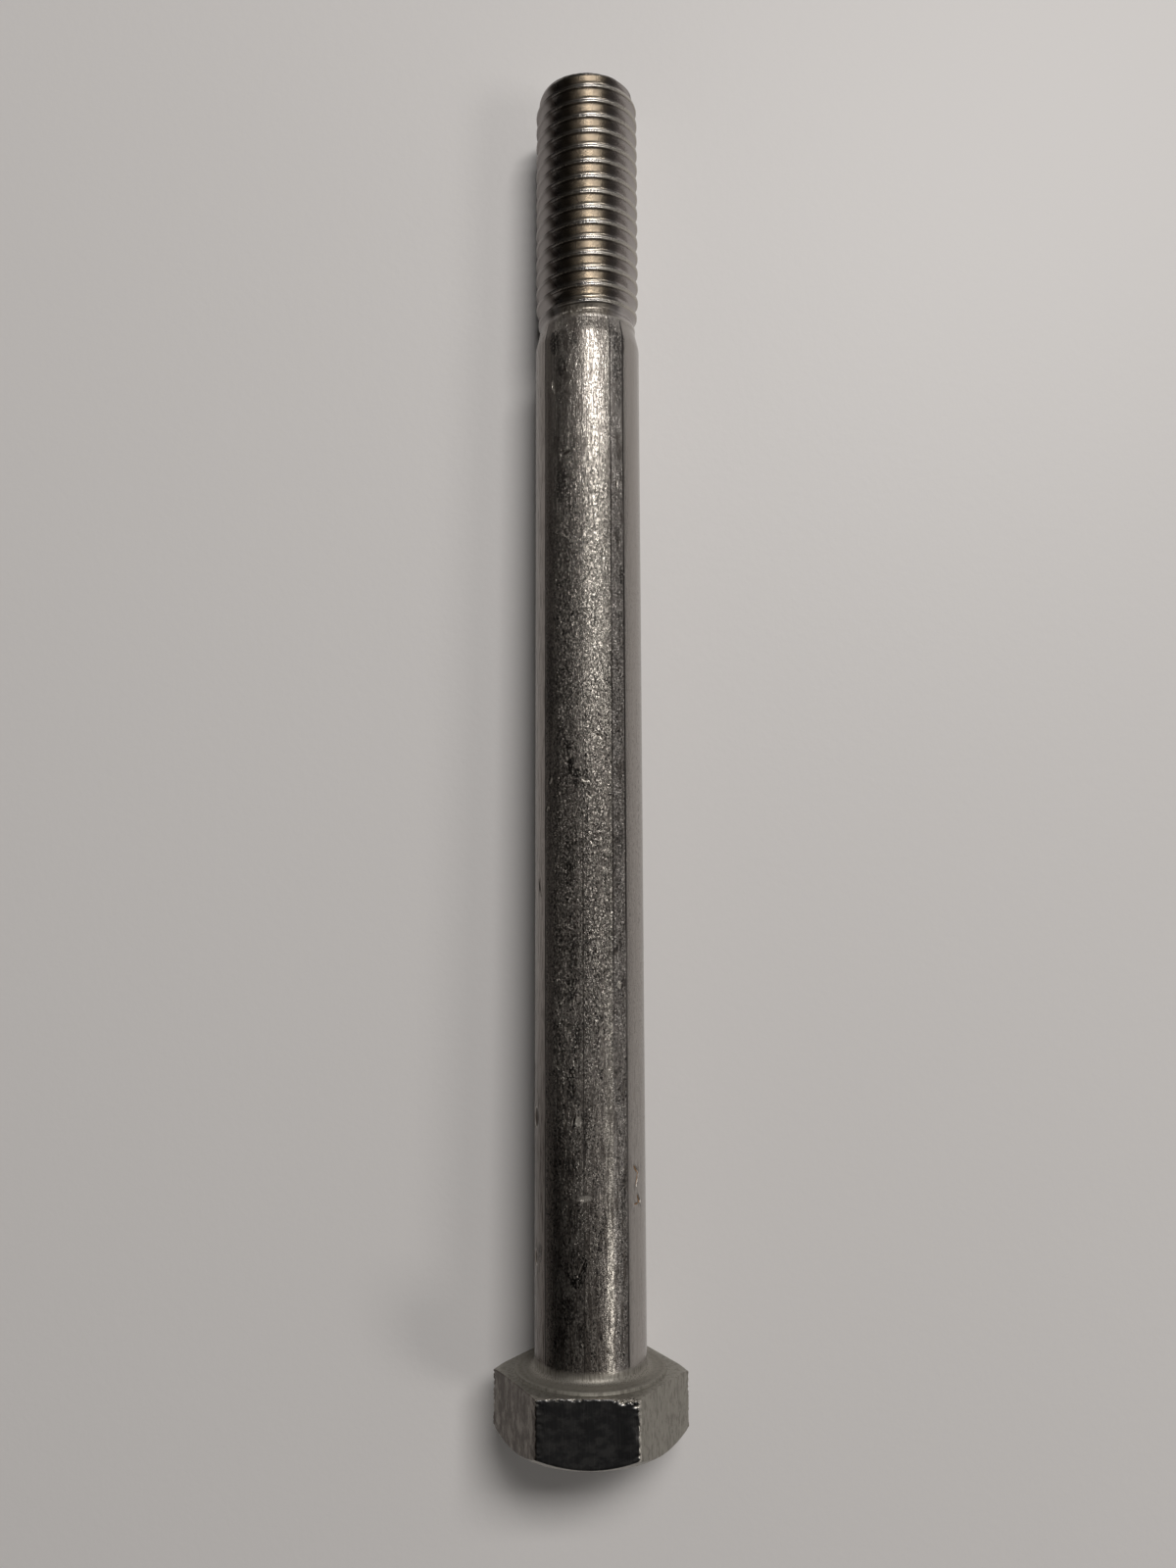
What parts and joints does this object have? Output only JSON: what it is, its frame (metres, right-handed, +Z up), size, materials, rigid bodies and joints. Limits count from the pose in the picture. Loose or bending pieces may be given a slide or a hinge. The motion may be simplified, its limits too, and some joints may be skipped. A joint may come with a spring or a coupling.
{
  "type": "hex cap screw",
  "caption": "Long hex cap screw with a washer face, a plain shank and a right-hand coarse thread near its chamfered tip, for clamping thick joints.",
  "frame": {"origin": "middle of the bounding box at ground level, with the screw lying on one flat of its head and on the thread near its tip", "axes": "+X from the head towards the tip, +Z up, +Y to the left of a viewer who looks along +X. The screw's own axis dips 1.2326 degrees below +X towards the tip, and meets the bearing face at X -72.297 mm, Z 9.516 mm"},
  "size_m": [0.1604, 0.022, 0.0192],
  "materials": {
    "weathered_steel": "drawn bar with streaks along the shank, fine pits, small dents and scratches, burrs on the head's edges and a darkened flat on the head"
  },
  "bodies": {
    "root": {"hex_cap_screw": "weathered_steel"}
  },
  "joints": []
}
